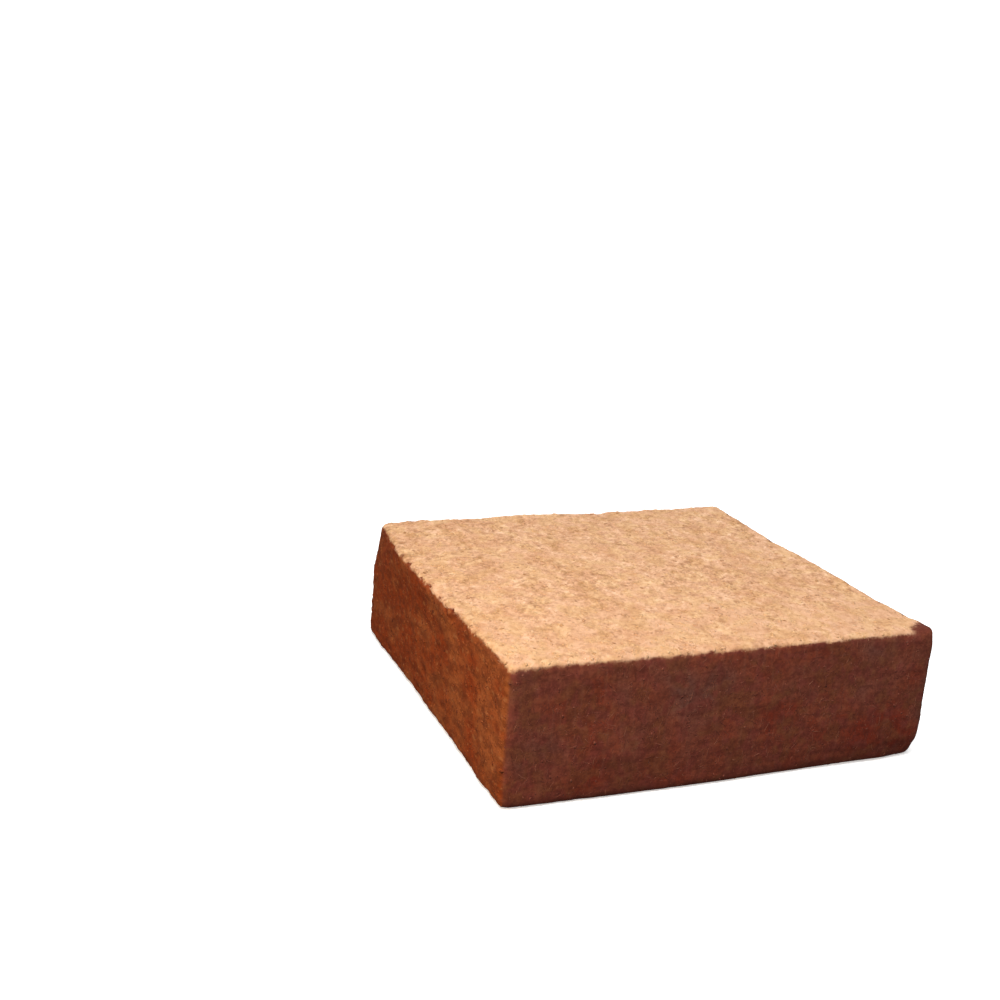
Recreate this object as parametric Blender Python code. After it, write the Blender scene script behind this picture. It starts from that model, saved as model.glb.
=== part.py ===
"""A pressed block of coconut coir, lying flat on one of its two broad faces.

The block comes out of its press as one solid piece: a square slab with rounded
edges, sides that have sprung back a little, and rims that crumble where the mould
let go. Metres, +Z up, origin at the middle of the underside, +X along the front.
"""

import bmesh
import bpy
from mathutils import Vector, noise

# Driving dimensions of the slab, before it swells and crumbles
WIDTH = 0.300
DEPTH = 0.300
HEIGHT = 0.0906

# Rounding that the mould gives the edges
POST_RADIUS = 0.0050
TOP_RADIUS = 0.0032
FOOT_RADIUS = 0.0024
ROUNDING_STEPS = 2

# Spacing of the mesh: broad on the faces, fine in a band along the top rim
FACE_STEP = 0.0122
RIM_BAND = 0.0150
RIM_CUTS = 3

# Spring-back of the pressed coir, at the middle of a face
SIDE_SWELL = 0.0010
TOP_SWELL = 0.0007

# The left side leans out past its foot towards the back, then stops at a torn step
LEFT_LIP = 0.0036
LEFT_LIP_FRONT = -0.058
LEFT_LIP_BACK = 0.062
LEFT_LIP_TEAR = 0.016
LEFT_LIP_FADE = 0.050
LEFT_LIP_HEIGHT = 0.030

# Relief of the surface: long swells, and the crumbled rims
LUMP_SIZE = 0.042
LUMP_DEPTH = 0.0009
CRUMB_SIZE = 0.0095
CRUMB_DEPTH_LEFT = 0.0017
CRUMB_DEPTH = 0.0008
RIM_REACH = 0.0085

# Places where the block departs from a plain slab. Each has its middle, how far it
# reaches along x, y and z, and how far its middle is moved along x, y and z.
MID_X = WIDTH / 2
MID_Y = DEPTH / 2
LOCAL_SHAPES = {
    "front_right_top_filled_out": (
        (MID_X, -MID_Y, HEIGHT), (0.022, 0.026, 0.014), (-0.0006, 0.0002, 0.0014)),
    "front_left_top_worn": (
        (-MID_X, -MID_Y, HEIGHT), (0.013, 0.013, 0.013), (0.0008, 0.0008, -0.0014)),
    "back_left_top_tucked_in": (
        (-MID_X, MID_Y, HEIGHT), (0.045, 0.055, 0.045), (0.0050, -0.0010, -0.0006)),
    "back_right_top_pushed_out": (
        (MID_X, MID_Y, HEIGHT), (0.045, 0.060, 0.050), (0.0052, 0.0006, -0.0003)),
    "right_rim_raised": (
        (MID_X, 0.095, HEIGHT), (0.060, 0.110, 0.050), (0.0012, 0.0, 0.0010)),
    "right_rim_sunk": (
        (MID_X, -0.095, HEIGHT), (0.060, 0.085, 0.050), (0.0, 0.0, -0.0015)),
    "front_right_foot_worn": (
        (MID_X, -MID_Y, 0.0), (0.032, 0.030, 0.020), (-0.0036, 0.0022, 0.0)),
    "front_foot_rounded": (
        (0.130, -MID_Y, 0.0), (0.130, 0.020, 0.012), (0.0, 0.0022, 0.0)),
    "front_foot_swollen": (
        (-0.055, -MID_Y, 0.004), (0.120, 0.060, 0.060), (0.0, -0.0020, 0.0)),
    "left_foot_swollen": (
        (-MID_X, 0.120, 0.004), (0.060, 0.120, 0.060), (-0.0014, 0.0, 0.0)),
}

COIR_COLOUR = (0.33, 0.135, 0.058, 1.0)
COIR_ROUGHNESS = 0.95


def clear_scene():
    for old in list(bpy.data.objects):
        bpy.data.objects.remove(old)


def ease(low, high, value):
    """0 below low, 1 above high, and a smooth turn between them."""
    t = min(1.0, max(0.0, (value - low) / (high - low)))
    return t * t * (3.0 - 2.0 * t)


def falloff(distance, reach):
    """1 at the spot itself, fading smoothly to 0 at the reach."""
    return 1.0 - ease(0.0, reach, distance)


def slab(bm):
    """The plain box, standing on z = 0."""
    bmesh.ops.create_cube(bm, size=1.0)
    bmesh.ops.scale(bm, vec=(WIDTH, DEPTH, HEIGHT), verts=bm.verts)
    bmesh.ops.translate(bm, vec=(0.0, 0.0, HEIGHT / 2), verts=bm.verts)


def round_edges(bm, wanted, radius):
    bmesh.ops.bevel(
        bm,
        geom=[edge for edge in bm.edges if wanted(edge)],
        offset=radius,
        offset_type="OFFSET",
        segments=ROUNDING_STEPS,
        profile=0.5,
        affect="EDGES",
        material=-1,
    )


def is_post(edge):
    low, high = sorted(v.co.z for v in edge.verts)
    return high - low > HEIGHT / 2


def is_on_level(level):
    return lambda edge: all(abs(v.co.z - level) < 1e-6 for v in edge.verts)


def cut_across(bm, faces, axis, place):
    """Cuts the given faces by a plane square to one axis, without opening them."""
    point = Vector((0.0, 0.0, 0.0))
    normal = Vector((0.0, 0.0, 0.0))
    point[axis] = place
    normal[axis] = 1.0
    edges = {edge for face in faces for edge in face.edges}
    verts = {vert for face in faces for vert in face.verts}
    bmesh.ops.bisect_plane(
        bm,
        geom=[*faces, *edges, *verts],
        dist=1e-6,
        plane_co=point,
        plane_no=normal,
    )


def stations(low, high, step, cuts=1):
    """Even places from low to high, about a step apart, each step in equal cuts."""
    count = cuts * max(1, round((high - low) / step))
    return [low + (high - low) * i / count for i in range(count + 1)]


def in_rim_band(face):
    """Whether a face lies in the band where the top crumbles over its rim."""
    middle = face.calc_center_median()
    if abs(middle.z - HEIGHT) < 1e-6:
        to_rim = min(WIDTH / 2 - abs(middle.x), DEPTH / 2 - abs(middle.y))
        return to_rim < RIM_BAND
    return middle.z > HEIGHT - RIM_BAND


def grid(bm):
    """Cuts the rounded slab into a broad grid, and its rim band into a finer one."""
    reaches = (WIDTH / 2 - POST_RADIUS, DEPTH / 2 - POST_RADIUS)
    for axis, reach in enumerate(reaches):
        for place in stations(-reach, reach, FACE_STEP):
            cut_across(bm, list(bm.faces), axis, place)
    levels = stations(FOOT_RADIUS, HEIGHT - TOP_RADIUS, FACE_STEP)
    for place in levels:
        cut_across(bm, list(bm.faces), 2, place)
    for place in stations(levels[-2], levels[-1], FACE_STEP, RIM_CUTS)[1:-1]:
        cut_across(bm, [f for f in bm.faces if in_rim_band(f)], 2, place)
    for axis, reach in enumerate(reaches):
        for place in stations(-reach, reach, FACE_STEP, RIM_CUTS):
            cut_across(bm, [f for f in bm.faces if in_rim_band(f)], axis, place)


def swell(co):
    """The sides and the top bow out a little where the press no longer holds them."""
    u = 2.0 * co.x / WIDTH
    v = 2.0 * co.y / DEPTH
    w = co.z / HEIGHT
    belly = 4.0 * w * (1.0 - w)
    return Vector(
        (
            u * SIDE_SWELL * (1.0 - v * v) * belly,
            v * SIDE_SWELL * (1.0 - u * u) * belly,
            w * TOP_SWELL * (1.0 - u * u) * (1.0 - v * v),
        )
    )


def left_lip(co):
    """The left side's top edge stands out towards the back and ends at a torn step."""
    along = ease(LEFT_LIP_FRONT, LEFT_LIP_FRONT + LEFT_LIP_TEAR, co.y)
    along *= 1.0 - ease(LEFT_LIP_BACK, LEFT_LIP_BACK + LEFT_LIP_FADE, co.y)
    near_left = falloff(co.x + WIDTH / 2, LEFT_LIP_HEIGHT)
    near_top = falloff(HEIGHT - co.z, LEFT_LIP_HEIGHT)
    return Vector((-LEFT_LIP * along * near_left * near_top, 0.0, 0.0))


def local_moves(co):
    """What the named places add to a point's move."""
    move = Vector((0.0, 0.0, 0.0))
    for middle, reach, full in LOCAL_SHAPES.values():
        away = [(co[i] - middle[i]) / reach[i] for i in range(3)]
        move += falloff(Vector(away).length, 1.0) * Vector(full)
    return move


def rim_wear(co):
    """How near a point is to an edge of the slab, from 0 on a face to 1 at the edge."""
    gaps = sorted(
        (
            WIDTH / 2 - abs(co.x),
            DEPTH / 2 - abs(co.y),
            min(HEIGHT - co.z, co.z),
        )
    )
    return falloff(gaps[1], RIM_REACH)


def relief(co, normal):
    """Long swells over the faces, and crumbs lost from or left on the edges."""
    lumps = noise.fractal(co / LUMP_SIZE, 1.0, 2.0, 2) * LUMP_DEPTH
    crumbs = noise.noise(co / CRUMB_SIZE) + 0.5 * noise.noise(2.3 * co / CRUMB_SIZE)
    depth = CRUMB_DEPTH
    depth += (CRUMB_DEPTH_LEFT - CRUMB_DEPTH) * falloff(co.x + WIDTH / 2, 0.020)
    top_share = 0.45 + 0.55 * ease(0.5 * HEIGHT, 0.9 * HEIGHT, co.z)
    return normal * (lumps + crumbs * depth * rim_wear(co) * top_share)


def shape(bm):
    """Moves every point off the plain box. The underside keeps z = 0."""
    bm.normal_update()
    moves = []
    for vert in bm.verts:
        co = vert.co.copy()
        move = swell(co) + left_lip(co) + local_moves(co)
        move += relief(co, vert.normal)
        move.z *= ease(0.0, FOOT_RADIUS, co.z)
        moves.append(move)
    for vert, move in zip(bm.verts, moves):
        vert.co += move


def flatten_underside(bm):
    """Makes the underside one flat face, which the block rests on."""
    under = [f for f in bm.faces if all(abs(v.co.z) < 1e-6 for v in f.verts)]
    bmesh.ops.dissolve_faces(bm, faces=under, use_verts=False)
    for vert in bm.verts:
        if abs(vert.co.z) < 1e-6:
            vert.co.z = 0.0
    for face in bm.faces:
        face.smooth = any(v.co.z > 0.0 for v in face.verts)


def centre(bm):
    """Puts the middle of the outline over the origin."""
    xs = [v.co.x for v in bm.verts]
    ys = [v.co.y for v in bm.verts]
    middle = Vector(((min(xs) + max(xs)) / 2, (min(ys) + max(ys)) / 2, 0.0))
    bmesh.ops.translate(bm, vec=-middle, verts=bm.verts)


def coir_material():
    material = bpy.data.materials.new("pressed_coir")
    material.use_nodes = True
    shader = material.node_tree.nodes["Principled BSDF"]
    shader.inputs["Base Color"].default_value = COIR_COLOUR
    shader.inputs["Roughness"].default_value = COIR_ROUGHNESS
    shader.inputs["Metallic"].default_value = 0.0
    return material


def coir_bale():
    bm = bmesh.new()
    slab(bm)
    round_edges(bm, is_post, POST_RADIUS)
    round_edges(bm, is_on_level(HEIGHT), TOP_RADIUS)
    round_edges(bm, is_on_level(0.0), FOOT_RADIUS)
    grid(bm)
    shape(bm)
    flatten_underside(bm)
    centre(bm)
    bmesh.ops.recalc_face_normals(bm, faces=bm.faces)
    mesh = bpy.data.meshes.new("coir_bale")
    bm.to_mesh(mesh)
    bm.free()
    mesh.materials.append(coir_material())
    bale = bpy.data.objects.new("coir_bale", mesh)
    bpy.context.scene.collection.objects.link(bale)
    return bale


clear_scene()
coir_bale()
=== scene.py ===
# %% [markdown]
# # A block of pressed coconut coir
#
# Coir is what is left of a coconut's husk: brown pith, fine as coffee grounds, and short
# tough fibres. Pressed hard in a square mould it becomes a solid block that holds its
# shape. This lesson dresses a plain solid of such a block: a skin with its real relief,
# thousands of fibres and grains pressed into it, and finishes made only of nodes.
#
# The plain solid is loaded first. Everything after it is made around that solid, in
# metres, in the same place and at the same size.

# %% The frame
import math

import bmesh
import bpy
import numpy as np
from mathutils import Matrix, Vector, noise
from mathutils.bvhtree import BVHTree


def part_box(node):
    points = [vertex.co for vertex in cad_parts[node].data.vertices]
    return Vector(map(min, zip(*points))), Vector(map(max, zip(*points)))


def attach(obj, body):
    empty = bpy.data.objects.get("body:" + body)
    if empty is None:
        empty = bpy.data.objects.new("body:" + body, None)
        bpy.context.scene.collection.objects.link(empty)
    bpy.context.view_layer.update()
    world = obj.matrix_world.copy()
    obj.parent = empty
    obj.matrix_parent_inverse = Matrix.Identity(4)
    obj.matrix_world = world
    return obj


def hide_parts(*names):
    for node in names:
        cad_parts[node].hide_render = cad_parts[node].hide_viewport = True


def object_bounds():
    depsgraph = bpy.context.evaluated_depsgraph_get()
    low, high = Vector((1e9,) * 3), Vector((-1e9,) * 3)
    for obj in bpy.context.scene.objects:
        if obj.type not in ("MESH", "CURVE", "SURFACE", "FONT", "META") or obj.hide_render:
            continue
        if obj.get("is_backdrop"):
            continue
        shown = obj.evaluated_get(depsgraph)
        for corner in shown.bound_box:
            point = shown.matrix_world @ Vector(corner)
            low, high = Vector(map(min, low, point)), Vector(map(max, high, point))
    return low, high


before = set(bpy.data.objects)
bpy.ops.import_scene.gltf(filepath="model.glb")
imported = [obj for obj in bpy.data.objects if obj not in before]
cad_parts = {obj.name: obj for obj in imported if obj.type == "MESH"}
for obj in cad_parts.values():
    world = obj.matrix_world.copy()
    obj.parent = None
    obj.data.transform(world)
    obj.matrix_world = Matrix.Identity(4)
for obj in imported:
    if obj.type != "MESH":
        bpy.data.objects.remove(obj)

MM = 0.001
SOLID = "coir_bale"
cad_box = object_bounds()
low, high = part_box(SOLID)
print("solid block, mm:", [round((b - a) / MM, 1) for a, b in zip(low, high)])

# %% [markdown]
# ## The camera
#
# A photograph of a box gives its camera away: the edges that are parallel in the room
# run to three vanishing points, and these fix the lens, the heading and the tilt. The
# camera is built from those three angles and its place, which is easier to read than a
# matrix: it turns to its heading, leans down, and rolls a little about its own axis.

# %% The camera
CAMERA_PLACE = Vector((-0.4004, -0.7665, 0.3674))
CAMERA_HEADING = math.radians(21.09)
CAMERA_LEAN = math.radians(15.02)
CAMERA_ROLL = math.radians(3.45)
CAMERA_LENS = 45.24

camera_data = bpy.data.cameras.new("camera")
camera_data.lens = CAMERA_LENS
camera_data.sensor_width = 36.0
camera = bpy.data.objects.new("camera", camera_data)
turn = Matrix.Rotation(-CAMERA_HEADING, 4, "Z")
lean = Matrix.Rotation(math.radians(90) - CAMERA_LEAN, 4, "X")
roll = Matrix.Rotation(CAMERA_ROLL, 4, "Z")
camera.matrix_world = Matrix.Translation(CAMERA_PLACE) @ turn @ lean @ roll
bpy.context.scene.collection.objects.link(camera)
bpy.context.scene.camera = camera
sight = camera.matrix_world.to_3x3() @ Vector((0, 0, -1))
print("camera looks along", [round(x, 3) for x in sight])

# %% [markdown]
# ## Node maths that reads as maths
#
# A shader's sums are built from Math nodes, and a page of linked nodes is hard to read.
# `Signal` wraps one output socket, so `1 - mask` or `grain * 0.3` adds the node for it.
# `Finish` holds one material, and its `add` makes any other node from its type, its
# settings and what its sockets hold.


# %% Signals and finishes
class Signal:
    """One output socket, with the arithmetic written as Python."""

    def __init__(self, finish, socket):
        self.finish = finish
        self.socket = socket

    def maths(self, operation, *values, clamp=False):
        settings = {"operation": operation, "use_clamp": clamp}
        return self.finish.add("ShaderNodeMath", settings, dict(enumerate(values)))

    def __add__(self, other):
        return self.maths("ADD", self, other)

    def __radd__(self, other):
        return self.maths("ADD", other, self)

    def __sub__(self, other):
        return self.maths("SUBTRACT", self, other)

    def __rsub__(self, other):
        return self.maths("SUBTRACT", other, self)

    def __mul__(self, other):
        return self.maths("MULTIPLY", self, other)

    def __rmul__(self, other):
        return self.maths("MULTIPLY", other, self)

    def clamped(self):
        return self.maths("ADD", self, 0.0, clamp=True)

    def between(self, start, end):
        """0 at start, 1 at end, with a smooth turn between them."""
        settings = {"interpolation_type": "SMOOTHSTEP"}
        sockets = {"Value": self, "From Min": start, "From Max": end}
        return self.finish.add("ShaderNodeMapRange", settings, sockets)


class Finish:
    """One material built from nodes, around its Principled BSDF."""

    def __init__(self, name):
        self.material = bpy.data.materials.new(name)
        self.material.use_nodes = True
        self.tree = self.material.node_tree
        self.shader = self.tree.nodes["Principled BSDF"]

    def feed(self, socket, value):
        if isinstance(value, Signal):
            self.tree.links.new(value.socket, socket)
        else:
            socket.default_value = value

    def add(self, kind, settings=None, sockets=None, output=0):
        """A node from its type, its settings and what its sockets hold."""
        node = self.tree.nodes.new(kind)
        for name, value in (settings or {}).items():
            if name == "stops":
                self.set_stops(node.color_ramp.elements, value)
            else:
                setattr(node, name, value)
        for key, value in (sockets or {}).items():
            self.feed(node.inputs[key], value)
        return Signal(self, node.outputs[output])

    def set_stops(self, elements, stops):
        elements.remove(elements[1])
        elements[0].position = stops[0][0]
        elements[0].color = (*stops[0][1], 1.0)
        for position, colour in stops[1:]:
            elements.new(position).color = (*colour, 1.0)

    def ramp(self, share, *stops):
        """A colour that runs through stops, each of them a position and a colour."""
        return self.add("ShaderNodeValToRGB", {"stops": stops}, {0: share})

    def place(self, stretch=(1, 1, 1), turned=(0, 0, 0)):
        """Object coordinates in millimetres, turned and then squeezed by stretch."""
        here = self.add("ShaderNodeTexCoord", output="Object")
        turned_here = self.add(
            "ShaderNodeVectorRotate",
            {"rotation_type": "EULER_XYZ"},
            {"Vector": here, "Rotation": [math.radians(a) for a in turned]},
        )
        sockets = {0: turned_here, 1: [s / MM for s in stretch]}
        return self.add("ShaderNodeVectorMath", {"operation": "MULTIPLY"}, sockets)

    def along(self, axis):
        """How far along one axis of the block a place is, in millimetres."""
        return self.add("ShaderNodeSeparateXYZ", None, {0: self.place()}, axis)

    def noise(self, where, size, detail=2.0, rough=0.5):
        """Soft noise from 0 to 1 whose blots are about size millimetres wide."""
        sockets = {"Vector": where, "Scale": 1.0 / size, "Detail": detail, "Roughness": rough}
        return self.add("ShaderNodeTexNoise", {"normalize": True}, sockets)

    def cells(self, where, size, output="Distance"):
        """Distance to the nearest of scattered points, which lie about size apart."""
        sockets = {"Vector": where, "Scale": 1.0 / size}
        return self.add("ShaderNodeTexVoronoi", {"feature": "F1"}, sockets, output)

    def mix(self, share, first, second, blend="MIX"):
        """A colour between two, by share. Colours are (r, g, b) or signals."""
        settings = {"data_type": "RGBA", "blend_type": blend}
        ends = [c if isinstance(c, Signal) else (*c, 1.0) for c in (first, second)]
        return self.add("ShaderNodeMix", settings, {0: share, 6: ends[0], 7: ends[1]}, 2)

    def attribute(self, name):
        """A number that is stored on the mesh, point by point."""
        return self.add("ShaderNodeAttribute", {"attribute_name": name}, output="Fac")

    def set(self, **values):
        for name, value in values.items():
            self.feed(self.shader.inputs[name.replace("_", " ")], value)

    def bump(self, height, depth_mm, strength=1.0):
        sockets = {"Height": height, "Distance": depth_mm * MM, "Strength": strength}
        self.feed(self.shader.inputs["Normal"], self.add("ShaderNodeBump", None, sockets))


print("signals and finishes are ready")

# %% [markdown]
# ## Where the block is pale and where it is dark
#
# The two broad faces are painted pale and the four sides dark. This split is painted
# light and shade: the broad faces are as pale as a lit top looks, the sides as dark as
# sides in shade look. The four sides slid along the mould, which rubbed them smooth. The
# change happens on the rounded edge, within two or three millimetres. One number says
# which it is, from 0 on a side to 1 on a broad face. It comes from the way the surface
# faces, it is stored on each mesh as the attribute "broad", and skin, fibres and grains
# all read it. On the right rim the pale face is worn back in places, so there the change
# comes later.
#
# The sides differ too. Two of them slid out along the mould, so they are smooth and
# maroon. The other two were torn free. They are rougher and sprinkled with pale bits, and
# they are painted warmer: partly their own colour, partly painted warm reflected light. A
# second number, "torn", is 1 on these. A third, "level", is 1 where the surface faces up.
# There the colour of the sides is painted darker, on the rounded rims: painted shade.


# %% Broad faces, rubbed sides and torn sides
def ease(start, end, value):
    """0 up to start, 1 from end on, with a smooth turn between them."""
    t = min(1.0, max(0.0, (value - start) / (end - start)))
    return t * t * (3.0 - 2.0 * t)


WEAR = 1.1
WEAR_CHANGE = 1.8
WEAR_SIZE = 8.0 * MM
TOP_FROM = 0.14
TOP_TURN = 0.68
UNDER_RANGE = (0.85, 0.98)
TORN_TURN = 0.35


def broadness(place, facing):
    """1 on a broad face and 0 on a side. The top's right rim is worn back unevenly."""
    wear = WEAR + WEAR_CHANGE * noise.noise(place / WEAR_SIZE)
    start = TOP_FROM + max(0.0, wear * facing.x)
    return ease(start, start + TOP_TURN, facing.z) + ease(*UNDER_RANGE, -facing.z)


def tornness(facing):
    """1 on the left and the back, 0 on the front and the right."""
    return ease(-TORN_TURN, TORN_TURN, facing.y - facing.x)


def levelness(facing):
    """1 where the surface faces up, 0 where it is upright or faces down."""
    return max(0.0, facing.z)


for words, facing in (("up", (0, 0, 1)), ("front", (0, -1, 0)), ("left", (-1, 0, 0))):
    broad = broadness(Vector((0, 0, 0)), Vector(facing))
    print(words + ":", "broad", broad, "torn", tornness(Vector(facing)))

# %% [markdown]
# ## The skin
#
# The solid has flat facets of about a centimetre, which is too plain for pith. Its skin
# is made from it: loose triangles are merged, a voxel remesh covers the form with even
# quads under two millimetres wide, and a few rounds of smoothing take out the facets.
# The remesh is what makes sculpting in code possible, because every later dent needs
# points to move.


# %% Remeshed skin
SKIN_VOXEL = 1.76 * MM
SMOOTH_ROUNDS = 3


def merged_copy(source, name):
    """A copy of a mesh with its doubled points merged."""
    bm = bmesh.new()
    bm.from_mesh(source)
    bmesh.ops.remove_doubles(bm, verts=bm.verts, dist=1e-6)
    mesh = bpy.data.meshes.new(name)
    bm.to_mesh(mesh)
    bm.free()
    return mesh


def remeshed(source, name, voxel):
    """The same form, covered with even quads of about the voxel's size."""
    rough = bpy.data.objects.new("rough_form", source)
    bpy.context.scene.collection.objects.link(rough)
    modifier = rough.modifiers.new("remesh", "REMESH")
    modifier.mode = "VOXEL"
    modifier.voxel_size = voxel
    evaluated = rough.evaluated_get(bpy.context.evaluated_depsgraph_get())
    mesh = bpy.data.meshes.new_from_object(evaluated)
    mesh.name = name
    bpy.data.objects.remove(rough)
    return mesh


plain = merged_copy(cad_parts[SOLID].data, "plain_block")
skin_mesh = remeshed(plain, "bale_skin", SKIN_VOXEL)
skin_bm = bmesh.new()
skin_bm.from_mesh(skin_mesh)
for _ in range(SMOOTH_ROUNDS):
    bmesh.ops.smooth_vert(
        skin_bm, verts=skin_bm.verts, factor=0.5, use_axis_x=True, use_axis_y=True, use_axis_z=True
    )
skin_bm.normal_update()
print("skin:", len(skin_bm.verts), "points,", 2 * len(skin_bm.faces), "triangles")

# %% [markdown]
# ## Relief
#
# Four kinds of unevenness show on a coir block, from large to small. Long swells come
# from the press. Pith lies in grains and clumps a few millimetres wide. They were laid
# from front to back as the mould was filled, so they are longer that way: a little, and
# at a slant, on the broad faces, and more on the sides. Pores are left where a clump has
# fallen out, mostly in the broad faces. And the rims crumble: bits break off the edge,
# worst on the left, where the block tore as it left the mould. Each is a formula of the
# place, so the relief is the same on every run.

# %% Relief formulas
GRAIN_SIZE = 3.4 * MM
GRAIN_DEPTH = 0.42 * MM
CLUMP_SIZE = 8.0 * MM
CLUMP_DEPTH = 0.30 * MM
LAYER_SIZES = Vector((30.0, 30.0, 4.5)) * MM
LAYER_DEPTH = 0.16 * MM
PORE_SPACING = 9.0 * MM
PORE_DEPTH = 0.60 * MM
PORE_WIDTH = 0.30
PORE_SHARE = 0.45
UNDERSIDE_GAP = 0.3 * MM
half = (high - low) / 2
middle = (high + low) / 2

# Along their run grains are longer than wide: by 1 / LAID on the broad faces, where the
# run is turned by LAID_TURN degrees from front to back, and by 1 / DRAGGED on the sides
LAID = 0.75
LAID_TURN = 21.0
DRAGGED = 0.62


def pore(place, spacing, width, share):
    """How deep a pore is at a place, 0 to 1. A share of the cells hold one."""
    distances, points = noise.voronoi(place / spacing)
    if noise.cell(points[0] * 7.31) > share:
        return 0.0
    ragged = 0.12 * noise.noise(place / (1.6 * MM))
    return 1.0 - ease(0.35 * width, width, distances[0] + ragged)


def laid_place(place):
    """A place as the grain of the broad faces sees it: turned, and squeezed along its run."""
    turned = Matrix.Rotation(math.radians(LAID_TURN), 3, "Z") @ place
    return Vector((turned.x, turned.y * LAID, turned.z))


def pith_rise(place):
    """Grains and clumps, in metres, at a place that is squeezed already."""
    grain = noise.fractal(place / GRAIN_SIZE, 0.8, 2.0, 2) * GRAIN_DEPTH
    return grain + noise.noise(place / CLUMP_SIZE) * CLUMP_DEPTH


def surface_relief(place, facing):
    """Grains, clumps, layers and pores, in metres along the normal."""
    broad = broadness(place, facing)
    torn = tornness(facing) * (1.0 - broad)
    rubbed = (1.0 - tornness(facing)) * (1.0 - broad)
    flat = ease(0.3, 0.8, abs(facing.z))
    dragged = Vector((place.x, place.y * DRAGGED, place.z))
    pith = flat * pith_rise(laid_place(place)) + (1.0 - flat) * pith_rise(dragged)
    layers = noise.noise(Vector([place[i] / LAYER_SIZES[i] for i in range(3)]))
    rise = pith * (1.0 - 0.62 * rubbed + 0.45 * torn) + LAYER_DEPTH * layers * rubbed
    depth = PORE_DEPTH * (1.0 - 0.75 * rubbed)
    return rise - depth * pore(place, PORE_SPACING, PORE_WIDTH, PORE_SHARE)


print("relief at the middle of the top, mm:",
      round(surface_relief(Vector((0, 0, high.z)), Vector((0, 0, 1))) / MM, 3))

# %% [markdown]
# The rims get relief of their own, on top of that. Three noises of different size make
# them ragged, and on the left they are deeper. Four larger bits are missing there, each
# with its place along the rim in metres and its half width and depth in millimetres. One
# upper corner has lost its pale face altogether.

# %% Crumbled rims
RIM_REACH = 6.5 * MM
RIM_DEPTH = 0.40 * MM
TORN_RIM_DEPTH = 1.6 * MM
RAGGED_SIZE = 5.0 * MM
WAVE_SIZE = 17.0 * MM
WAVE_DEPTH = 1.3 * MM
NICK_SPACING = 12.0 * MM
NICK_DEPTH = 2.3 * MM
NICK_WIDTH = 0.45
LEFT_NICKS = ((-0.048, 3.4, 3.0), (0.000, 4.0, 2.2), (0.048, 6.0, 2.6), (0.092, 5.0, 2.2))
WORN_CORNER = Vector((0.1510, -0.1510, 0.0900))
WORN_REACH = Vector((0.024, 0.019, 0.030))
WORN_RANGE = (0.62, 1.12)


def rim_nearness(place):
    """1 on an edge of the block, falling to 0 a few millimetres away from it."""
    gaps = sorted(half[i] - abs(place[i] - middle[i]) for i in range(3))
    return 1.0 - ease(0.0, RIM_REACH, gaps[1])


def left_nicks(place, torn):
    """Depth of the four larger bits that are missing from the upper left rim."""
    depth = 0.0
    for along, width, deepest in LEFT_NICKS:
        depth += deepest * MM * (1.0 - ease(0.3 * width * MM, width * MM, abs(place.y - along)))
    return depth * torn


def rim_relief(place):
    """What has crumbled off the edges of the block, in metres."""
    rim = rim_nearness(place)
    if rim == 0.0:
        return 0.0
    torn = ease(0.09, 0.14, -place.x) * ease(0.03, 0.07, place.z)
    depth = RIM_DEPTH + (TORN_RIM_DEPTH - RIM_DEPTH) * torn
    ragged = noise.fractal(place / RAGGED_SIZE, 0.7, 2.0, 3)
    wave = noise.noise(place / WAVE_SIZE) * WAVE_DEPTH * torn
    nick = pore(place, NICK_SPACING, NICK_WIDTH, 0.12 + 0.50 * torn) * (0.30 + 0.70 * torn)
    return (ragged * depth + wave - nick * NICK_DEPTH - left_nicks(place, torn)) * rim


def worn_corner(place):
    """1 where one upper corner lost its pale face, falling to 0 about 20 mm away."""
    away = [(place[i] - WORN_CORNER[i]) / WORN_REACH[i] for i in range(3)]
    frayed = Vector(away).length + 0.16 * noise.noise(place / RAGGED_SIZE)
    return 1.0 - ease(*WORN_RANGE, frayed)


print("rims crumble up to, mm:", TORN_RIM_DEPTH / MM)

# %% [markdown]
# Now the skin is moved along its own facing. Its three numbers are read from the smooth
# form, before it moves. Where more than a millimetre has crumbled off a rim, the pale
# face has gone with it. The lowest points are held just above the floor.

# %% Relief on the skin
rises = [surface_relief(v.co, v.normal) for v in skin_bm.verts]
crumbled = [rim_relief(v.co) for v in skin_bm.verts]
moves = [v.normal * (a + b) for v, a, b in zip(skin_bm.verts, rises, crumbled)]
kept = [1.0 - 0.9 * ease(0.3 * MM, 1.3 * MM, -loss) for loss in crumbled]
broad_values = [
    broadness(v.co, v.normal) * share * (1.0 - worn_corner(v.co))
    for v, share in zip(skin_bm.verts, kept)
]
torn_values = [tornness(v.normal) for v in skin_bm.verts]
# "level" drives the painted shade that darkens side colour where it faces up
level_values = [levelness(v.normal) for v in skin_bm.verts]
smooth_places = np.array([v.co for v in skin_bm.verts])
smooth_facings = np.array([v.normal for v in skin_bm.verts])
foot = [ease(0.0, 3.0 * MM, v.co.z - low.z) for v in skin_bm.verts]
for vert, move, share in zip(skin_bm.verts, moves, foot):
    move.z *= share
    vert.co += move
    vert.co.z = max(vert.co.z, low.z + UNDERSIDE_GAP)
skin_bm.to_mesh(skin_mesh)
skin_bm.free()
for name, values in (("broad", broad_values), ("torn", torn_values), ("level", level_values)):
    layer = skin_mesh.attributes.new(name, "FLOAT", "POINT")
    layer.data.foreach_set("value", values)
skin_mesh.shade_smooth()
bale_body = bpy.data.objects.new("bale_body", skin_mesh)
bpy.context.scene.collection.objects.link(bale_body)
print("deepest dent, mm:", round(max(m.length for m in moves) / MM, 2))

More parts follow.
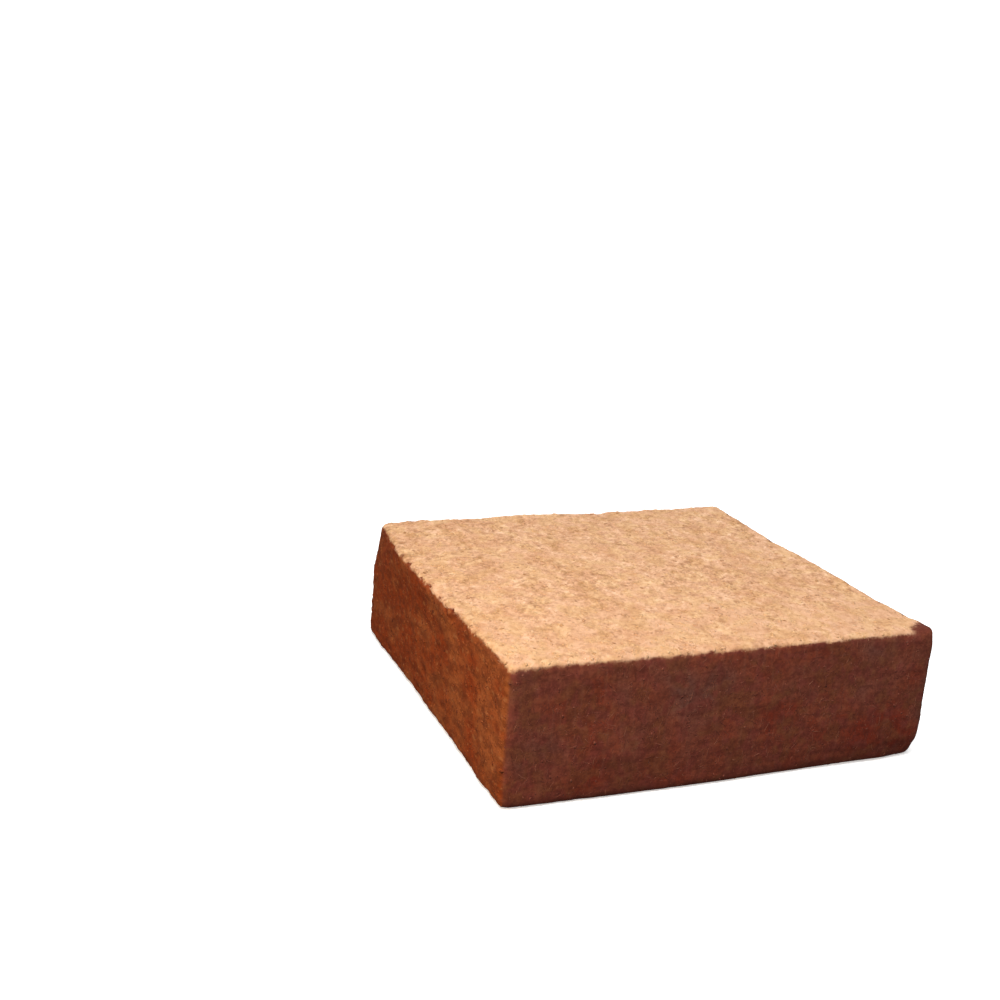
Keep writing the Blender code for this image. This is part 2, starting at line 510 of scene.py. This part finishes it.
# %% [markdown]
# ## A map for the baked skin
#
# Outside Blender the node finishes live on as baked pictures, so each face needs a place
# of its own in its piece's picture: a UV map. The skin is close to a box, so its map is
# six flat views of the block side by side on one sheet. They are taken of the skin as it
# was before the relief, because there no bump hides another. The sheet is measured in
# metres, like the block. Each axis has two views, from its low side and its high side.

# %% Map of the skin
BAKE_MAP = "OFBake"
SHEET = 0.66
VIEW_CENTRES = np.array([
    [(0.165, 0.10), (0.495, 0.10)],
    [(0.165, 0.25), (0.495, 0.25)],
    [(0.495, 0.49), (0.165, 0.49)],
])
VIEW_ACROSS = np.array([1, 0, 0])
VIEW_UP = np.array([2, 2, 1])


def read_numbers(items, name):
    """One whole number of every item, as an array."""
    found = np.empty(len(items), np.int32)
    items.foreach_get(name, found)
    return found


corner_points = read_numbers(skin_mesh.loops, "vertex_index")
first_points = corner_points[read_numbers(skin_mesh.polygons, "loop_start")]
axis = np.abs(smooth_facings[first_points]).argmax(axis=1)
positive = (smooth_facings[first_points, axis] > 0).astype(int)
sizes = read_numbers(skin_mesh.polygons, "loop_total")
axis = np.repeat(axis, sizes)
positive = np.repeat(positive, sizes)
from_middle = smooth_places[corner_points] - np.array(middle)
corners = np.arange(len(corner_points))
across = from_middle[corners, VIEW_ACROSS[axis]]
flat_view = np.stack([across, from_middle[corners, VIEW_UP[axis]]], axis=1)
skin_map = (VIEW_CENTRES[axis, positive] + flat_view) / SHEET
skin_mesh.uv_layers.new(name=BAKE_MAP).uv.foreach_set("vector", skin_map.astype(np.float32).ravel())
print("skin map spans", skin_map.min(axis=0).round(3), "to", skin_map.max(axis=0).round(3))

# %% [markdown]
# ## Fibres
#
# A fibre is a thin strand that lies on the skin, a little bent, with its ends pressed
# into the pith. There are over ten thousand, so each is kept very light: a tube with
# three sides and a few rings. One strand is modelled, as a cone primitive cut into
# rings, and its points are then laid along thousands of paths with arrays. The paths
# are cast onto the skin ring by ring, so a strand follows every lump that it crosses.


# %% One strand
RINGS = 5
STRAND_SIDES = 3


def strand_pattern():
    """A tube one unit long on Z, cut into rings: its points, their ring, and its faces."""
    bm = bmesh.new()
    bmesh.ops.create_cone(
        bm, cap_ends=True, cap_tris=False, segments=STRAND_SIDES, radius1=1.0, radius2=1.0, depth=1.0
    )
    for i in range(1, RINGS - 1):
        cut = Vector((0, 0, i / (RINGS - 1) - 0.5))
        geometry = [*bm.verts, *bm.edges, *bm.faces]
        bmesh.ops.bisect_plane(bm, geom=geometry, dist=1e-6, plane_co=cut, plane_no=(0, 0, 1))
    bmesh.ops.recalc_face_normals(bm, faces=bm.faces)
    bm.verts.index_update()
    points = np.array([v.co for v in bm.verts])
    rings = np.rint((points[:, 2] + 0.5) * (RINGS - 1)).astype(int)
    faces = [[v.index for v in f.verts] for f in bm.faces]
    bm.free()
    return points, rings, faces


strand_points, strand_rings, strand_faces = strand_pattern()
print("one strand:", len(strand_points), "points,", sum(len(f) - 2 for f in strand_faces), "triangles")


# %% [markdown]
# The copies need a map too. The usual unwrapping would leave more gaps than places on it.
# A grid does better: each copy gets one cell of the picture, and in that cell each face of
# the pattern gets a smaller one.


# %% Map of the copies
CELL_CORNERS = ((0.1, 0.1), (0.9, 0.1), (0.9, 0.9), (0.1, 0.9))


def pattern_map(pattern_faces):
    """A place in the unit square for every corner of every face of a pattern."""
    columns = math.ceil(math.sqrt(len(pattern_faces)))
    places = []
    for i, face in enumerate(pattern_faces):
        for u, v in CELL_CORNERS[:len(face)]:
            places.append(((i % columns + u) / columns, (i // columns + v) / columns))
    return np.array(places)


def map_copies(mesh, copies, pattern_faces):
    """Gives each copy its own cell of the map."""
    columns = math.ceil(math.sqrt(copies))
    index = np.arange(copies)
    cells = np.stack([index % columns, index // columns], axis=1)
    places = (cells[:, None] + pattern_map(pattern_faces)[None]) / columns
    mesh.uv_layers.new(name=BAKE_MAP).uv.foreach_set("vector", places.astype(np.float32).ravel())


print("a strand's map has", len(pattern_map(strand_faces)), "corners")

# %% Joining many copies
NUMBERS = ("tone", "broad", "torn", "level")


def joined(name, places, pattern_faces, numbers):
    """One mesh of many copies. places is copies x points x 3, and numbers has a row per copy."""
    copies, count = places.shape[:2]
    places[..., 2] = np.maximum(places[..., 2], low.z)
    loops = np.concatenate([np.array(f) for f in pattern_faces])
    sizes = np.array([len(f) for f in pattern_faces])
    starts = np.concatenate([[0], np.cumsum(sizes)[:-1]])
    shift = np.arange(copies)[:, None]
    mesh = bpy.data.meshes.new(name)
    mesh.vertices.add(copies * count)
    mesh.vertices.foreach_set("co", places.astype(np.float32).ravel())
    mesh.loops.add(copies * len(loops))
    mesh.loops.foreach_set("vertex_index", (loops[None] + shift * count).ravel())
    mesh.polygons.add(copies * len(sizes))
    mesh.polygons.foreach_set("loop_start", (starts[None] + shift * len(loops)).ravel())
    mesh.update(calc_edges=True)
    for key, values in zip(NUMBERS, np.array(numbers, np.float32).T):
        layer = mesh.attributes.new(key, "FLOAT", "POINT")
        layer.data.foreach_set("value", np.repeat(values, count))
    map_copies(mesh, copies, pattern_faces)
    mesh.shade_smooth()
    piece = bpy.data.objects.new(name, mesh)
    bpy.context.scene.collection.objects.link(piece)
    mesh.calc_loop_triangles()
    print(name + ":", copies, "copies,", len(mesh.loop_triangles), "triangles")
    return piece


# %% [markdown]
# A strand needs a start, a heading along the skin, a length and a bend. The start is a
# random point on the block's box, moved onto the skin by a ray. The other rings are
# cast from just above the skin. A strand that runs off the edge of its face, where the
# ray drops too far, is left out. Each copy also reads the three numbers of the skin where
# it lies, so that it takes the colours of that place.

# %% Casting paths onto the skin
skin_points = [v.co for v in skin_mesh.vertices]
ray_skin = BVHTree.FromPolygons(skin_points, [p.vertices for p in skin_mesh.polygons])
CAST_FROM = 6.0 * MM
MAX_STEP = 0.9 * MM
LEAST_FACING = 0.72


def landing(point, inward):
    """Where a ray from just outside a point meets the skin: the place, its facing, its face.

    A place where the skin turns away from the ray, on a rounded edge, gives nothing.
    """
    above = point - inward * CAST_FROM
    place, facing, face, distance = ray_skin.ray_cast(above, inward, 2.5 * CAST_FROM)
    if place is None or -facing.dot(inward) < LEAST_FACING:
        return None
    return place, facing, face


def local_numbers(face):
    """The skin's own "broad", "torn" and "level" on one of its faces."""
    corner = skin_mesh.polygons[face].vertices[0]
    return broad_values[corner], torn_values[corner], level_values[corner]


def path_on_skin(start, inward, heading, length, bend):
    """A row of points on the skin, one for each ring, and the face under its middle."""
    across = inward.cross(heading)
    path = []
    faces = []
    for i in range(RINGS):
        t = i / (RINGS - 1) - 0.5
        point = start + heading * (t * length) + across * (bend * length * (4.0 * t * t - 1.0))
        found = landing(point, inward)
        if found is None:
            return None
        if path and abs((found[0] - path[-1]).dot(inward)) > MAX_STEP:
            return None
        path.append(found[0])
        faces.append(found[2])
    return path, faces[RINGS // 2]


print("skin is ready for rays:", landing(Vector((0, 0, high.z)), Vector((0, 0, -1))) is not None)


# %% [markdown]
# Each side of the block gets its own share of strands. A side is described by the way
# inwards and by two directions that span it, and by the share of strands that are combed
# along the second one. On the rubbed sides the mould has dragged them upright. On the torn
# ones many still lie level, as they were filled, and on the broad faces few are combed.


# %% Sides of the block
COMB_SPREAD = 0.35


class Side:
    """One face of the block's box, on which strands and grains are strewn."""

    def __init__(self, inward, along, up, combed):
        self.inward = Vector(inward)
        self.along = Vector(along)
        self.up = Vector(up)
        self.combed = combed
        self.width = abs(self.along.dot(high - low))
        self.height = abs(self.up.dot(high - low))
        reach = abs(self.inward.dot(high - low)) / 2
        self.centre = middle - self.inward * reach

    def spot(self, random):
        """A random point of the face."""
        u = (random.random() - 0.5) * self.width
        v = (random.random() - 0.5) * self.height
        return self.centre + self.along * u + self.up * v

    def heading(self, random):
        """A random direction along the face, which follows "up" where strands are combed."""
        turn_by = random.random() * math.tau
        if random.random() < self.combed:
            turn_by = math.pi / 2 + random.normal() * COMB_SPREAD
        return self.along * math.cos(turn_by) + self.up * math.sin(turn_by)


TOP = Side((0, 0, -1), (1, 0, 0), (0, 1, 0), 0.15)
UNDER = Side((0, 0, 1), (1, 0, 0), (0, 1, 0), 0.15)
FRONT = Side((0, 1, 0), (1, 0, 0), (0, 0, 1), 0.5)
BACK = Side((0, -1, 0), (0, 0, 1), (1, 0, 0), 0.45)
LEFT = Side((1, 0, 0), (0, 0, 1), (0, 1, 0), 0.45)
RIGHT = Side((-1, 0, 0), (0, 1, 0), (0, 0, 1), 0.5)
ALL_ROUND = (FRONT, BACK, LEFT, RIGHT)
print("a side face spans, mm:", [round(x / MM) for x in (FRONT.width, FRONT.height)])


# %% Strewing fibres
THINNER_ENDS = 0.62
SUNK_ENDS = 0.22 * MM
FLATNESS = 0.45
BEND_SPREAD = 0.09


def strand_shape(path, inward, width):
    """A strand's points around its path: thick in the middle, thin and sunk at its ends."""
    path = np.array(path)
    out = -np.array(inward)
    run = np.gradient(path, axis=0)
    run /= np.linalg.norm(run, axis=1)[:, None]
    side = np.cross(run, out)
    side /= np.linalg.norm(side, axis=1)[:, None]
    up = np.cross(side, run)
    ends = np.abs(np.linspace(-1.0, 1.0, RINGS)) ** 3
    radius = 0.5 * width * (1.0 - THINNER_ENDS * ends)
    lift = 0.05 * width * (1.0 - ends) - SUNK_ENDS * ends
    ring = strand_rings
    x = strand_points[:, 0, None]
    y = strand_points[:, 1, None]
    centre = path + out[None] * lift[:, None]
    return centre[ring] + radius[ring, None] * (x * side[ring] + FLATNESS * y * up[ring])


def strew_fibres(name, sides, count, lengths, widths, seed):
    """A piece of many fibres, spread evenly over some sides of the block."""
    random = np.random.default_rng(seed)
    shapes, numbers = [], []
    for i in range(count):
        side = sides[i % len(sides)]
        start = side.spot(random)
        heading = side.heading(random)
        length = lengths[0] + (lengths[1] - lengths[0]) * random.random() ** 1.8
        width = random.uniform(*widths)
        bend = random.normal() * BEND_SPREAD
        tone = random.random()
        found = path_on_skin(start, side.inward, heading, length, bend)
        if found is None:
            continue
        path, face = found
        shapes.append(strand_shape(path, side.inward, width))
        numbers.append((tone, *local_numbers(face)))
    return joined(name, np.array(shapes), strand_faces, numbers)


BROAD_LENGTHS = (3.0 * MM, 12.0 * MM)
BROAD_WIDTHS = (0.26 * MM, 0.62 * MM)
SIDE_LENGTHS = (3.0 * MM, 13.0 * MM)
SIDE_WIDTHS = (0.24 * MM, 0.52 * MM)
top_fibres = strew_fibres("top_fibres", (TOP,), 7000, BROAD_LENGTHS, BROAD_WIDTHS, 11)
under_fibres = strew_fibres("under_fibres", (UNDER,), 2600, BROAD_LENGTHS, BROAD_WIDTHS, 12)
side_fibres = strew_fibres("side_fibres", ALL_ROUND, 7200, SIDE_LENGTHS, SIDE_WIDTHS, 13)

# %% [markdown]
# ## Grains of pith
#
# Between the fibres lie grains of pith, half sunk in the skin. A grain is a small
# icosphere, made uneven, squashed and turned at random. It lies flat on its side of the
# block, because the press pushed it there.


# %% Strewing grains
UNEVENNESS = 0.22
LONGER = (1.0, 1.7)
SUNK_GRAIN = 0.14
RUBBED_SMALLER = 0.30
RUBBED_FLATTER = 0.35


def grain_pattern():
    """A rough ball one unit in radius: its points and its faces."""
    bm = bmesh.new()
    bmesh.ops.create_icosphere(bm, subdivisions=1, radius=1.0)
    points = np.array([v.co for v in bm.verts])
    faces = [[v.index for v in f.verts] for f in bm.faces]
    bm.free()
    return points, faces


def strew_grains(name, sides, count, radii, flatness, seed):
    """A piece of many grains, spread evenly over some sides of the block."""
    random = np.random.default_rng(seed)
    points, faces = grain_pattern()
    shapes, numbers = [], []
    for i in range(count):
        side = sides[i % len(sides)]
        found = landing(side.spot(random), side.inward)
        radius = radii[0] + (radii[1] - radii[0]) * random.random() ** 2.8
        uneven = 1.0 + UNEVENNESS * random.normal(size=(len(points), 1)).clip(-1.5, 1.5)
        heading = side.heading(random)
        long = random.uniform(*LONGER)
        flat = random.uniform(*flatness)
        tone = random.random()
        if found is None:
            continue
        place, facing, face = found
        broad, torn, level = local_numbers(face)
        rubbed = (1.0 - torn) * (1.0 - broad)
        radius *= 1.0 - RUBBED_SMALLER * rubbed
        flat *= 1.0 - RUBBED_FLATTER * rubbed
        across = facing.cross(heading).normalized()
        axes = np.array([across, across.cross(facing) * long, facing * flat])
        centre = np.array(place) - SUNK_GRAIN * radius * np.array(facing)
        shapes.append(centre + radius * (points * uneven) @ axes)
        numbers.append((tone, broad, torn, level))
    return joined(name, np.array(shapes), faces, numbers)


BROAD_RADII = (0.36 * MM, 1.45 * MM)
BROAD_FLATNESS = (0.28, 0.52)
SIDE_RADII = (0.34 * MM, 1.40 * MM)
SIDE_FLATNESS = (0.20, 0.40)
top_grains = strew_grains("top_grains", (TOP,), 9800, BROAD_RADII, BROAD_FLATNESS, 21)
under_grains = strew_grains("under_grains", (UNDER,), 3000, BROAD_RADII, BROAD_FLATNESS, 22)
side_grains = strew_grains("side_grains", ALL_ROUND, 8400, SIDE_RADII, SIDE_FLATNESS, 23)

# %% [markdown]
# ## The finish of the skin
#
# Dry pith is fully matt, and its colour changes at every scale. Pressed pith is granular
# down to a millimetre, and cells do this well: each cell of a Voronoi texture gets a tone
# of its own, and the distance to its middle makes it a low dome in the bump. A number
# called "tone" adds softer noises of a few millimetres to it, and a ramp turns it into
# colour. Broad faces run from brown to pale straw, with dark specks. Rubbed sides are
# maroon in large soft patches, with upright streaks and faint layers. Torn sides are
# orange brown with dark pockets and pale bits.

# %% Colours of the broad faces
SPECK_BROWN_AND_SHADE = (0.330, 0.155, 0.070)
# Painted light: the broad ramp is paler than the pith's own colour, as a lit top looks, and its palest
# stop stands partly for painted highlights on lit fibres
BROAD_RAMP = (
    (0.00, (0.400, 0.210, 0.105)),
    (0.30, (0.545, 0.298, 0.166)),
    (0.55, (0.625, 0.355, 0.209)),
    (0.80, (0.685, 0.412, 0.254)),
    (1.00, (0.785, 0.510, 0.332)),
)


def laid_here(finish):
    """Object coordinates as the grain of the broad faces sees them."""
    return finish.place((1.0, LAID, 1.0), (0.0, 0.0, LAID_TURN))


def broad_patches(finish, here, base):
    """A colour of the broad faces, made yellower or browner in soft patches."""
    yellow = finish.noise(here, 13.0, 1.0).between(0.42, 0.60)
    base = finish.mix(yellow * 0.60, base, (0.97, 1.01, 0.84), "MULTIPLY")
    brown = finish.noise(here, 24.0, 1.5).between(0.46, 0.66)
    return finish.mix(brown * 0.60, base, (0.90, 0.83, 0.76), "MULTIPLY")


def calmness(finish, here):
    """0 to 1, and 1 where a broad face is worn smooth: in patches, and near the front."""
    patches = finish.noise(here, 20.0, 1.5).between(0.44, 0.62)
    from_front = finish.along(1).between(-158.0, -17.0)
    return (patches * 0.6 + (1.0 - from_front) * 0.6).clamped()


def broad_colour(finish, here, tone):
    """Tan pith with dark specks, which lie in groups: dark pith, and partly painted shade of pores."""
    calm = calmness(finish, here)
    tone = tone + (0.60 - tone) * (calm * 0.50)
    base = broad_patches(finish, here, finish.ramp(tone, *BROAD_RAMP))
    wobble = finish.noise(here, 3.0, 2.0) * 0.40
    gathered = finish.noise(here, 15.0, 1.5).between(0.42, 0.60)
    share = (0.42 + 0.58 * gathered) * (1.0 - 0.45 * calm)
    # The specks are dark pith and partly painted shade of pores
    large = 1.0 - (finish.cells(here, 13.0) + wobble).between(0.28, 0.50)
    small = 1.0 - (finish.cells(here, 6.0) + wobble).between(0.32, 0.46)
    base = finish.mix(small * share * 0.85, base, SPECK_BROWN_AND_SHADE)
    return finish.mix(large * share * 0.90, base, SPECK_BROWN_AND_SHADE)


print("broad faces run from", BROAD_RAMP[0][1], "to", BROAD_RAMP[-1][1])

# %% Colours of the rubbed sides
# Painted shade: the rubbed sides' colours are darker than the pith's own colour, as sides in shade
# look
RED_BROWN = (0.236, 0.034, 0.015)
WARM_BROWN = (0.252, 0.061, 0.031)
MAROON_GREY = (0.184, 0.067, 0.048)
OLIVE_BROWN = (0.192, 0.060, 0.025)
PLUM = (0.215, 0.047, 0.034)
# Dark pith, and also the colour of painted shade at the foot and on level rims
DARK_PITH_AND_SHADE = (0.102, 0.022, 0.014)
RUBBED_PALE = (0.290, 0.112, 0.068)
GREY_PATCH = (-25.0, -152.0, 66.0)
RED_PATCH = (112.0, -152.0, 22.0)


def blot(finish, here, centre, size):
    """1 at a centre given in millimetres, fading to 0 at about a size away from it."""
    gap = finish.add("ShaderNodeVectorMath", {"operation": "DISTANCE"}, {0: here, 1: centre}, 1)
    frayed = gap + finish.noise(here, 14.0, 3.0) * (1.1 * size)
    return 1.0 - frayed.between(0.55 * size, 1.45 * size)


def rubbed_colour(finish, here, tone):
    """Maroon in large patches, with upright streaks and level layers, and painted shade at the foot.

    The front has two patches of its own: a greyer one near the top, and a redder one low
    on the right.
    """
    patches = finish.noise(here, 34.0, 2.5) * 0.7 + 0.14
    patches = patches + blot(finish, here, GREY_PATCH, 34.0) * 0.20
    patches = patches - blot(finish, here, RED_PATCH, 40.0) * 0.20
    base = finish.ramp(patches, (0.34, RED_BROWN), (0.48, WARM_BROWN), (0.68, MAROON_GREY))
    olive = finish.noise(here, 13.0, 1.5).between(0.46, 0.62)
    base = finish.mix(olive * 0.75, base, OLIVE_BROWN)
    plum = finish.noise(here, 10.0, 1.5).between(0.48, 0.64)
    base = finish.mix(plum * 0.72, base, PLUM)
    base = finish.mix((1.0 - tone.between(0.00, 0.90)) * 0.60, base, DARK_PITH_AND_SHADE)
    upright = finish.noise(finish.place((1.0, 1.0, 0.14)), 3.0, 2.0).between(0.50, 0.74)
    base = finish.mix(upright * 0.20, base, RUBBED_PALE)
    layers = finish.noise(finish.place((0.09, 0.09, 1.0)), 3.4, 2.0).between(0.50, 0.70)
    base = finish.mix(layers * 0.30, base, DARK_PITH_AND_SHADE)
    # Painted shade: darker over the lowest 60 mm, and a dark painted contact shade along the foot
    height = finish.along(2)
    painted_shade_low = 1.0 - height.between(0.0, 60.0)
    base = finish.mix(painted_shade_low * 0.70, base, (0.90, 0.80, 0.78), "MULTIPLY")
    painted_contact_shade = 1.0 - height.between(1.0, 9.0)
    return finish.mix(painted_contact_shade * 0.60, base, DARK_PITH_AND_SHADE)


print("rubbed sides lie around", WARM_BROWN)

# %% Colours of the torn sides
# The torn sides' colours are painted darker than their pith, as painted shade, and warmer: partly
# their own colour, partly painted warm reflected light
TORN_DEEP = (0.285, 0.046, 0.0072)
TORN_ORANGE = (0.335, 0.090, 0.0240)
TORN_POCKET = (0.110, 0.021, 0.0055)
TORN_BIT = (0.400, 0.145, 0.0520)


def torn_colour(finish, here, tone):
    """Orange brown, with painted shade that makes it darker and redder towards the back, and with dark
    pockets and pale bits.
    """
    # Painted shade: the torn sides grow darker and redder towards the back
    painted_shade_to_back = finish.along(1).between(-140.0, 90.0)
    patches = finish.noise(here, 22.0, 2.0) + (0.5 - painted_shade_to_back) * 0.20
    base = finish.mix(patches.between(0.36, 0.64), TORN_DEEP, TORN_ORANGE)
    base = finish.mix((1.0 - tone.between(0.00, 0.66)) * 0.50, base, TORN_POCKET)
    pockets = finish.noise(here, 7.5, 2.0).between(0.50, 0.64)
    base = finish.mix(pockets * 0.50, base, TORN_POCKET)
    wobble = finish.noise(here, 2.4, 2.0) * 0.40
    bits = 1.0 - (finish.cells(here, 7.0) + wobble).between(0.28, 0.50)
    return finish.mix(bits * 0.55, base, TORN_BIT)


print("torn sides lie around", TORN_ORANGE)


# %% Skin finish
def granular_tone(finish, here, granule, clump):
    """0 to 1, with granules, grains and clumps. The sizes are in millimetres."""
    granules = finish.cells(here, granule, "Color")
    grainy = finish.noise(here, 3.0 * granule, 3.0, 0.55)
    clumped = finish.noise(here, clump, 1.0)
    return (granules * 0.18 + grainy * 0.48 + clumped * 0.34).between(0.32, 0.68)


def painted_level_shade(finish, colour):
    """A colour of the sides, painted darker where the surface is level: painted shade."""
    return finish.mix(finish.attribute("level") * 0.85, colour, DARK_PITH_AND_SHADE)


def skin_finish():
    """The three kinds of pith in one finish, blended by the numbers stored on the skin."""
    finish = Finish("coir_skin")
    here = finish.place()
    laid = laid_here(finish)
    dragged = finish.place((1.0, DRAGGED, 1.0))
    tone = granular_tone(finish, here, 1.25, 6.5)
    laid_tone = granular_tone(finish, laid, 1.5, 8.0)
    torn = torn_colour(finish, dragged, granular_tone(finish, dragged, 1.25, 6.5))
    edge = (finish.attribute("broad") + (tone - 0.5) * 0.4).between(0.10, 0.90)
    rubbed = rubbed_colour(finish, here, tone)
    sides = finish.mix(finish.attribute("torn"), rubbed, torn)
    broad = broad_colour(finish, laid, laid_tone)
    colour = finish.mix(edge, painted_level_shade(finish, sides), broad)
    finish.set(Base_Color=colour, Roughness=0.95 - 0.08 * tone, Specular_IOR_Level=0.15)
    rubbed_flat = 1.0 - (1.0 - finish.attribute("torn")) * (1.0 - edge) * 0.45
    domes = finish.cells(laid, 1.4) * 0.50 + finish.cells(laid, 3.0) * 0.50
    finish.bump((laid_tone * 0.3 - domes) * rubbed_flat, 0.42, 0.66)
    return finish.material


bale_body.data.materials.append(skin_finish())
print("skin finish made")


# %% [markdown]
# ## The finish of fibres and grains
#
# Each copy carries its own number, "tone", so no two neighbours match. A ramp gives the
# share of each colour: a few copies are dark, most are close to the pith around them,
# and some are paler. There is a ramp for each kind of side.


# %% Fibre and grain finish
def strewn_finish(name, broad_stops, rubbed_stops, torn_stops):
    """A finish for small copies, with one ramp of colours for each kind of side."""
    finish = Finish(name)
    here = finish.place()
    mottle = finish.noise(here, 1.0, 2.0)
    shade = (finish.attribute("tone") + (mottle - 0.5) * 0.45).clamped()
    rubbed = finish.ramp(shade, *rubbed_stops)
    sides = finish.mix(finish.attribute("torn"), rubbed, finish.ramp(shade, *torn_stops))
    edge = finish.attribute("broad").between(0.10, 0.90)
    broad = broad_patches(finish, laid_here(finish), finish.ramp(shade, *broad_stops))
    colour = finish.mix(edge, painted_level_shade(finish, sides), broad)
    finish.set(Base_Color=colour, Roughness=0.84 + 0.12 * mottle, Specular_IOR_Level=0.22)
    finish.bump(finish.noise(here, 0.5, 1.0), 0.15, 0.6)
    return finish.material


# %% Colours of the fibres and the grains
# Painted light and shade: the broad ramps are paler and the side ramps darker than the pith's own
# colour, as on the skin
FIBRE_BROAD = (
    (0.00, (0.400, 0.210, 0.105)),
    (0.08, (0.540, 0.295, 0.155)),
    (0.45, (0.615, 0.350, 0.195)),
    (0.85, (0.675, 0.405, 0.238)),
    (1.00, (0.750, 0.480, 0.300)),
)
FIBRE_RUBBED = (
    (0.00, (0.108, 0.024, 0.016)),
    (0.35, (0.190, 0.048, 0.028)),
    (0.85, (0.220, 0.068, 0.042)),
    (1.00, (0.300, 0.115, 0.070)),
)
FIBRE_TORN = (
    (0.00, (0.120, 0.024, 0.006)),
    (0.30, (0.235, 0.050, 0.012)),
    (0.90, (0.325, 0.088, 0.024)),
    (1.00, (0.390, 0.130, 0.043)),
)
GRAIN_BROAD = (
    (0.00, (0.350, 0.175, 0.082)),
    (0.06, (0.490, 0.262, 0.136)),
    (0.18, (0.575, 0.320, 0.173)),
    (0.50, (0.620, 0.355, 0.197)),
    (0.85, (0.668, 0.400, 0.232)),
    (1.00, (0.725, 0.455, 0.278)),
)
GRAIN_RUBBED = (
    (0.00, (0.108, 0.024, 0.016)),
    (0.40, (0.186, 0.046, 0.028)),
    (0.90, (0.216, 0.066, 0.041)),
    (1.00, (0.260, 0.092, 0.056)),
)
GRAIN_TORN = (
    (0.00, (0.120, 0.023, 0.006)),
    (0.25, (0.225, 0.046, 0.011)),
    (0.90, (0.310, 0.080, 0.021)),
    (1.00, (0.370, 0.115, 0.036)),
)
fibre_finish = strewn_finish("coir_fibre", FIBRE_BROAD, FIBRE_RUBBED, FIBRE_TORN)
grain_finish = strewn_finish("coir_grain", GRAIN_BROAD, GRAIN_RUBBED, GRAIN_TORN)
for piece in (top_fibres, under_fibres, side_fibres):
    piece.data.materials.append(fibre_finish)
for piece in (top_grains, under_grains, side_grains):
    piece.data.materials.append(grain_finish)
print("strewn finishes made")

# %% [markdown]
# ## Floor and light
#
# The block lies on plain white paper that curves up all round, so no horizon shows. Its
# own glow grows with the distance, which keeps the far paper as white as the near one.
# A broad soft light hangs above and a little in front, so the top is bright and brightest
# at its front, and the near sides fall into shade. Weak fills keep these readable. The
# paper sheds no light on the block, which keeps the sides as deep as they are.

# %% Paper
PAPER_SIZE = 14.0
PAPER_FLAT = 2.6
PAPER_RISE = 2.4

paper_bm = bmesh.new()
bmesh.ops.create_grid(paper_bm, x_segments=96, y_segments=96, size=PAPER_SIZE / 2)
for vert in paper_bm.verts:
    away = vert.co.xy.length
    vert.co.z = PAPER_RISE * ease(PAPER_FLAT, PAPER_SIZE / 2, away) - 0.2 * MM
paper_mesh = bpy.data.meshes.new("paper")
paper_bm.to_mesh(paper_mesh)
paper_bm.free()
paper_mesh.shade_smooth()
paper = bpy.data.objects.new("paper", paper_mesh)
bpy.context.scene.collection.objects.link(paper)
white = Finish("white_paper")
away = white.add("ShaderNodeVectorMath", {"operation": "LENGTH"}, {0: white.place()}, 1)
GLOW = ((0.0, (0.46, 0.46, 0.46)), (0.5, (0.80, 0.80, 0.80)), (1.0, (1.0, 1.0, 1.0)))
glow = white.ramp(away.between(450.0, 2300.0), *GLOW)
white.set(Base_Color=(0.88, 0.88, 0.88, 1.0), Roughness=0.95)
white.set(Emission_Color=glow, Emission_Strength=1.0)
paper.data.materials.append(white.material)
paper.visible_diffuse = False
paper.visible_glossy = False
paper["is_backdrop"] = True
print("paper spans, m:", PAPER_SIZE)


# %% Lights
def area_light(name, place, target, size, power, colour=(1.0, 1.0, 1.0)):
    """A soft square light at a place, turned to a target."""
    data = bpy.data.lights.new(name, "AREA")
    data.shape = "SQUARE"
    data.size = size
    data.energy = power
    data.color = colour
    light = bpy.data.objects.new(name, data)
    light.location = place
    light.rotation_euler = (Vector(target) - Vector(place)).to_track_quat("-Z", "Y").to_euler()
    bpy.context.scene.collection.objects.link(light)
    return light


area_light("key", (-0.30, -0.55, 1.85), (0, 0, 0), 1.3, 43.5)
area_light("left_fill", (-0.60, -0.28, 0.26), (-0.15, -0.05, 0.04), 0.3, 1.8, (1.0, 0.76, 0.46))
area_light("front_fill", (0.9, -1.9, 0.7), (0.05, 0, 0.04), 1.0, 3)
area_light("back_fill", (1.3, 1.7, 0.9), (0, 0, 0.04), 1.2, 12)
world = bpy.data.worlds.new("studio")
world.use_nodes = True
world.node_tree.nodes["Background"].inputs["Color"].default_value = (1.0, 1.0, 1.0, 1.0)
world.node_tree.nodes["Background"].inputs["Strength"].default_value = 0.20
bpy.context.scene.world = world
bpy.context.scene.view_settings.view_transform = "Standard"
print("lights made")

# %% [markdown]
# ## Joining the frame
#
# The block has one body, and every piece rides on it. The skin stands for the plain
# solid, which is then hidden. The fibres and grains lie on the skin.

# %% Riding on the frame
strewn = (top_fibres, under_fibres, side_fibres, top_grains, under_grains, side_grains)
for piece in (bale_body, *strewn):
    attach(piece, "root")
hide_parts(SOLID)

# %% Sizes and finish
bpy.context.view_layer.update()
visual_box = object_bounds()
growth = [[v - c for v, c in zip(*corners)] for corners in zip(visual_box, cad_box)]
print("grows by, mm:", [[round(x / MM, 2) for x in corner] for corner in growth])
